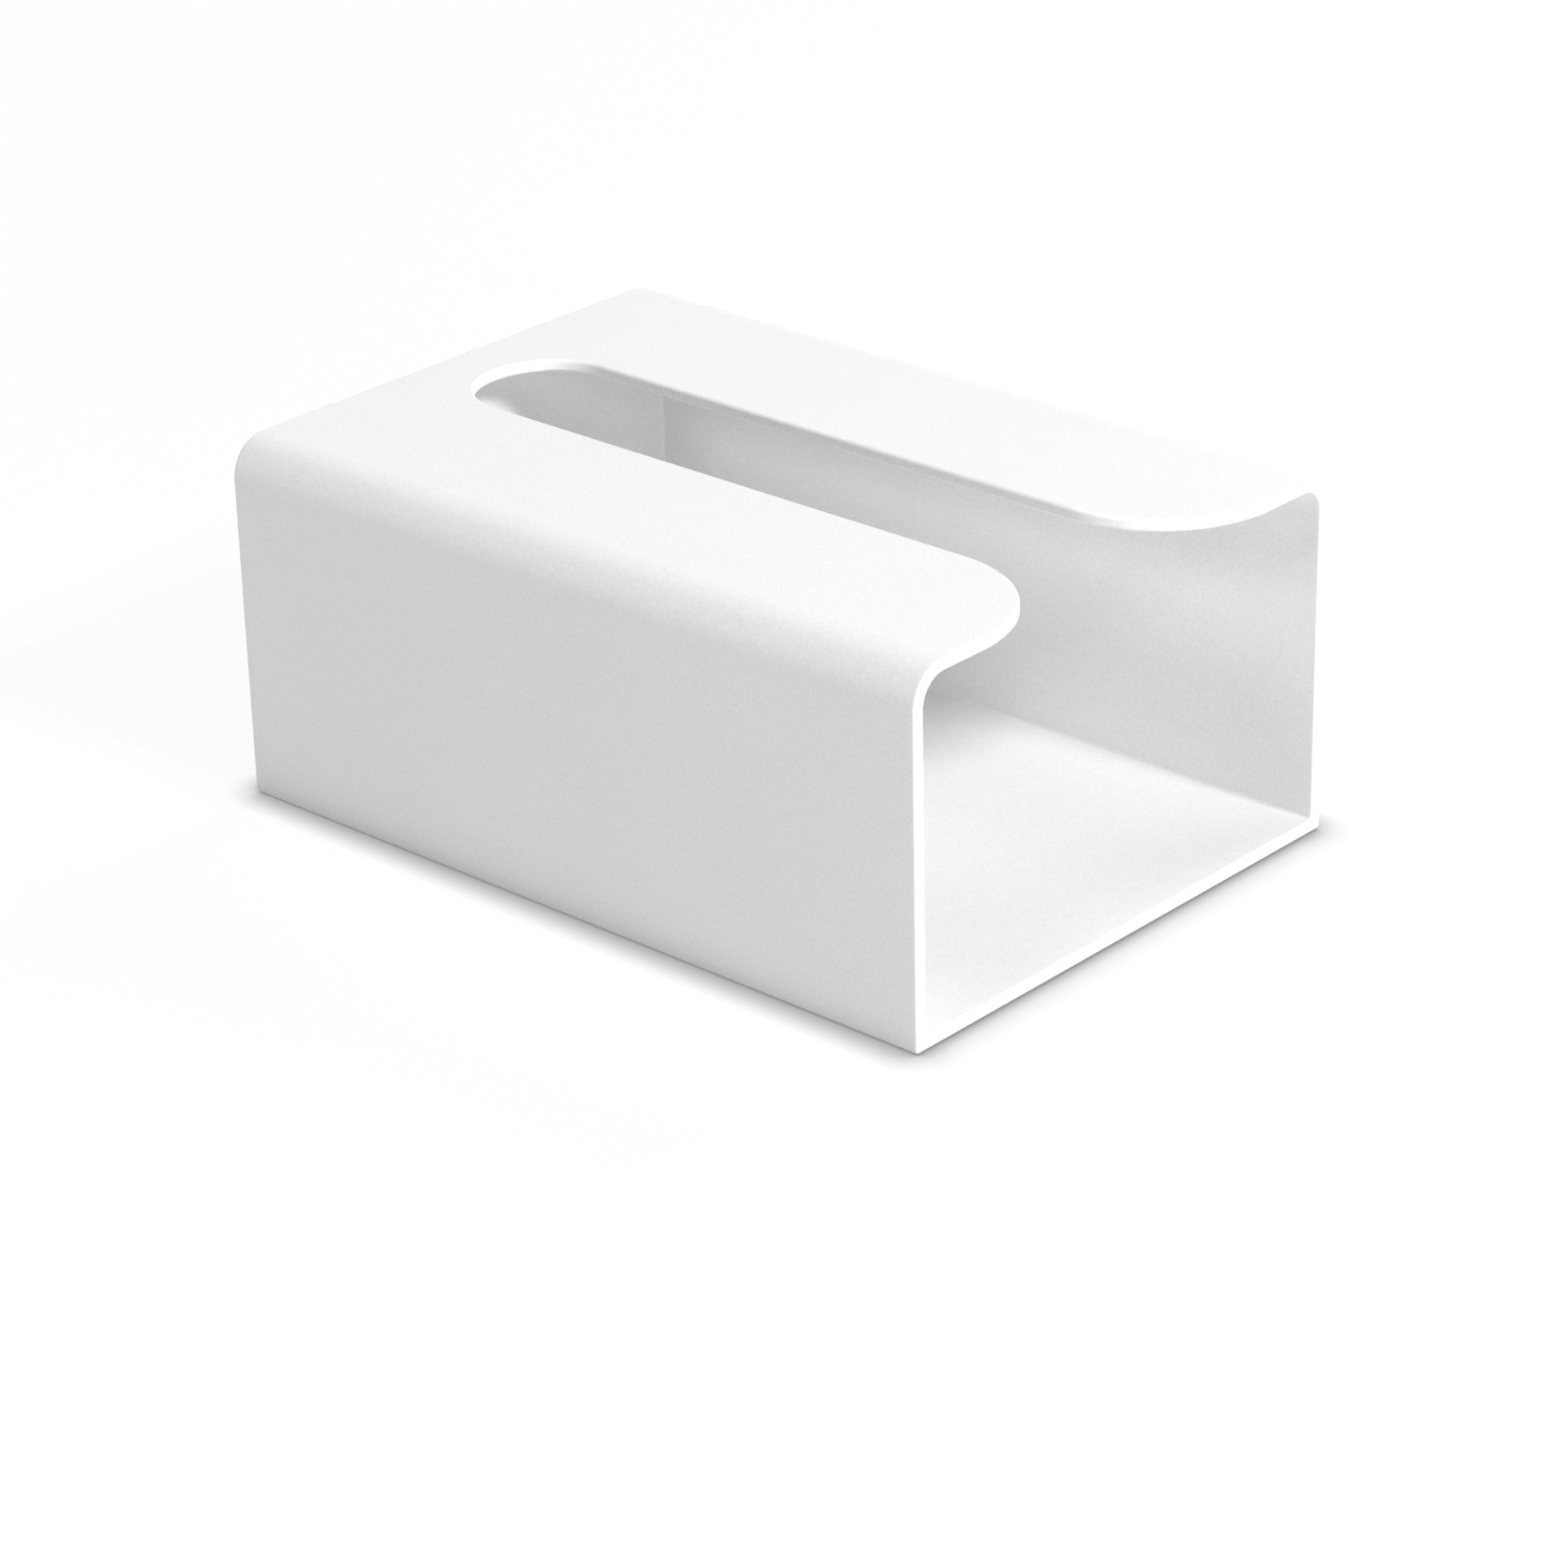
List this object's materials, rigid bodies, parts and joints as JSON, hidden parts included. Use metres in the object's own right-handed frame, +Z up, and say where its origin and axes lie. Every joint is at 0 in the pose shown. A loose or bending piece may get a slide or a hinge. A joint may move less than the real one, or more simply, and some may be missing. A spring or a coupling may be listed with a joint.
{
  "type": "wall-mounted tissue box",
  "caption": "White wall-mounted tissue box: a thin moulded shell with bent top edges, a pull slot that runs out at its open end, and foam tape on its flat back.",
  "frame": {"origin": "middle of the footprint, in the plane of the underside", "axes": "+X along the box towards its open end, +Y towards the wall it hangs on, +Z up"},
  "size_m": [0.2, 0.1402, 0.086],
  "materials": {
    "shell_plastic": "satin",
    "foam_tape": "matte",
    "liner_paper": "satin"
  },
  "bodies": {
    "root": {"shell": "shell_plastic", "upper_foam_tape": "foam_tape", "lower_foam_tape": "foam_tape", "upper_release_liner": "liner_paper", "lower_release_liner": "liner_paper"}
  },
  "joints": []
}
